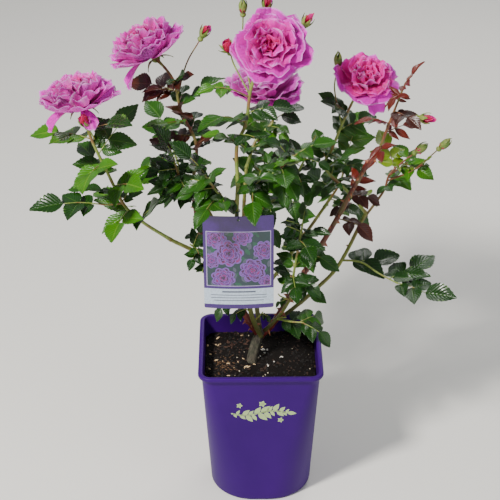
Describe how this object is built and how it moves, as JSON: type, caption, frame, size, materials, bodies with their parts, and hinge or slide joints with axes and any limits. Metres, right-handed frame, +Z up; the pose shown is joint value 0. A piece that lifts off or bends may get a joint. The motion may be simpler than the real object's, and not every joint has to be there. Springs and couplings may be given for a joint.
{
  "type": "potted rose bush",
  "caption": "Flowering rose bush in a tall square plastic pot: thorny canes, glossy compound leaves, full ruffled blooms, buds and a hanging label card.",
  "frame": {"origin": "middle of the pot's flat underside", "axes": "+Z up along the pot's axis, -Y towards the front, where the label card hangs, +X to the right seen from the front"},
  "size_m": [0.6029, 0.4134, 0.7758],
  "materials": {
    "pot": "satin moulded purple plastic",
    "soil": "damp potting mix with white and tan grains",
    "bark": "grey-brown bark",
    "red_cane": "red-brown young bark with thorns",
    "green_cane": "smooth yellow-green bark",
    "leaf": "glossy green leaf",
    "bronze_leaf": "young red-bronze leaf",
    "petal": "soft lavender-pink petal",
    "card": "printed plastic card",
    "tie": "dark green coated wire"
  },
  "bodies": {
    "root": {"pot": "pot", "soil": "soil", "trunk": "bark", "right_red_cane": "red_cane", "left_red_cane": "red_cane", "left_green_cane": "green_cane", "front_green_cane": "green_cane", "middle_green_cane": "green_cane", "right_green_cane": "green_cane", "back_left_cane": "green_cane", "back_right_cane": "green_cane", "back_middle_cane": "green_cane", "low_cane": "green_cane", "label_card": "card", "label_tie": "tie", "left_bloom_foliage": "leaf", "left_low_foliage": "leaf", "left_dark_foliage": "leaf", "upper_left_foliage": "leaf", "main_bloom_foliage": "leaf", "back_bloom_foliage": "leaf", "centre_left_foliage": "leaf", "centre_right_foliage": "leaf", "middle_right_foliage": "leaf", "card_side_foliage": "leaf", "rim_foliage": "leaf", "bronze_foliage": "bronze_leaf", "right_bloom_foliage": "leaf", "right_bud_foliage": "leaf", "right_red_foliage": "bronze_leaf", "low_right_foliage": "leaf", "back_left_foliage": "leaf", "back_right_foliage": "leaf", "back_middle_foliage": "leaf"}
  },
  "joints": []
}
